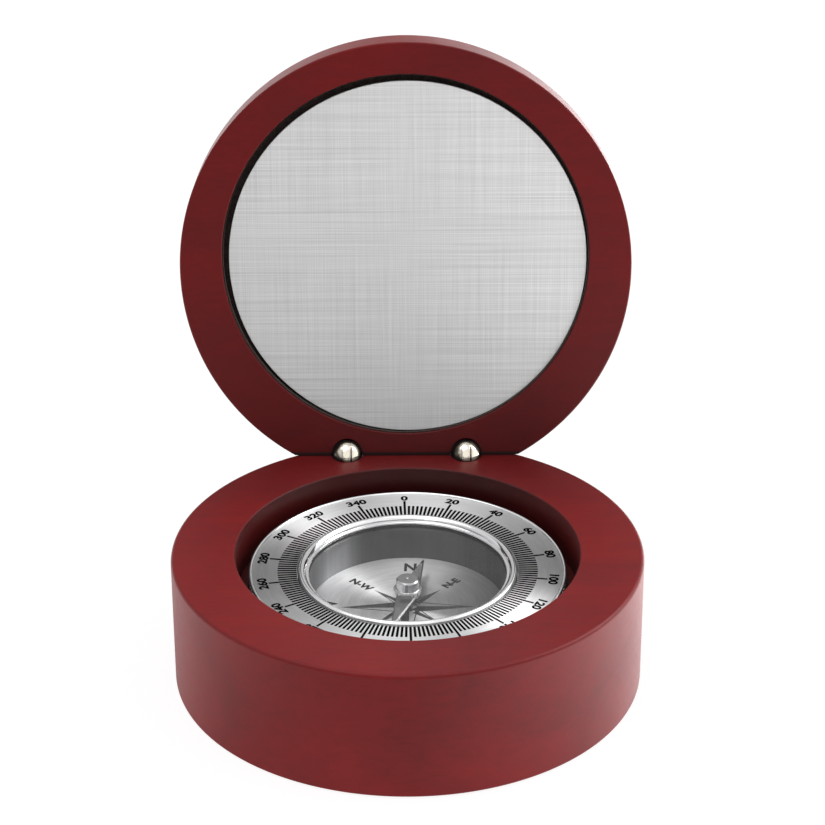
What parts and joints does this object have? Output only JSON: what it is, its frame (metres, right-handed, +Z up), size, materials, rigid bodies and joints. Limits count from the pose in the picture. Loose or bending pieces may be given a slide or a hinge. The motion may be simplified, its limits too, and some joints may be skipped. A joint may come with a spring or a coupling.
{
  "type": "pocket compass",
  "caption": "Magnetic compass with a turning degree bezel, set in a round hinged wooden case with a bare engraving plate in the lid.",
  "frame": {"origin": "centre of the base's turned underside, on the surface it stands on", "axes": "+Z up along the compass's axis, +Y towards the hinges, +X to the right seen from the front"},
  "size_m": [0.082, 0.1002, 0.0983],
  "materials": {
    "cherry_wood": "satin cherry-red lacquer over fine grain",
    "dark_felt": "short dark felt",
    "black_foam": "matt foam",
    "brushed_plate": "fine cross-brushed, bare",
    "nickel": "polished nickel plate",
    "steel": "bright drawn wire",
    "cast_alloy": "dark cast alloy",
    "black_rubber": "matt rubber",
    "silver_dial": "turned and brushed, silver",
    "grey_sleeve": "polished, dark grey",
    "lens_glass": "clear, polished",
    "chrome": "polished chrome plate",
    "polished_steel": "polished steel",
    "ruby_glass": "polished jewel"
  },
  "bodies": {
    "base": {"base_case": "cherry_wood", "hinge_fork_left": "nickel", "hinge_fork_right": "nickel", "hinge_pin_left": "steel", "hinge_pin_right": "steel", "capsule_body": "cast_alloy", "grip_ring": "black_rubber", "dial": "silver_dial", "well_sleeve": "grey_sleeve", "lens_gasket": "black_rubber", "lens": "lens_glass", "glass_ring": "chrome", "bezel_snap_wire": "steel", "pivot_post": "nickel", "pivot_pin": "steel"},
    "lid": {"lid_case": "cherry_wood", "lid_felt": "dark_felt", "plate_pad": "black_foam", "engraving_plate": "brushed_plate", "hinge_tongue_left": "nickel", "hinge_tongue_right": "nickel"},
    "bezel": {"turning_bezel": "chrome", "degree_ring": "silver_dial"},
    "needle": {"compass_needle": "polished_steel", "needle_cap": "chrome", "cap_jewel": "ruby_glass"}
  },
  "joints": [
    {"name": "lid_hinge", "type": "hinge", "parent": "base", "child": "lid", "pos_m": [0, 0.0353, 0.0235], "axis": [1, 0, 0], "range_deg": [0, 101]},
    {"name": "bezel_turn", "type": "hinge", "parent": "base", "child": "bezel", "pos_m": [0, 0, 0.0166], "axis": [0, 0, 1], "continuous": true},
    {"name": "needle_swing", "type": "hinge", "parent": "base", "child": "needle", "pos_m": [0, 0, 0.0165], "axis": [0, 0, 1], "continuous": true}
  ]
}
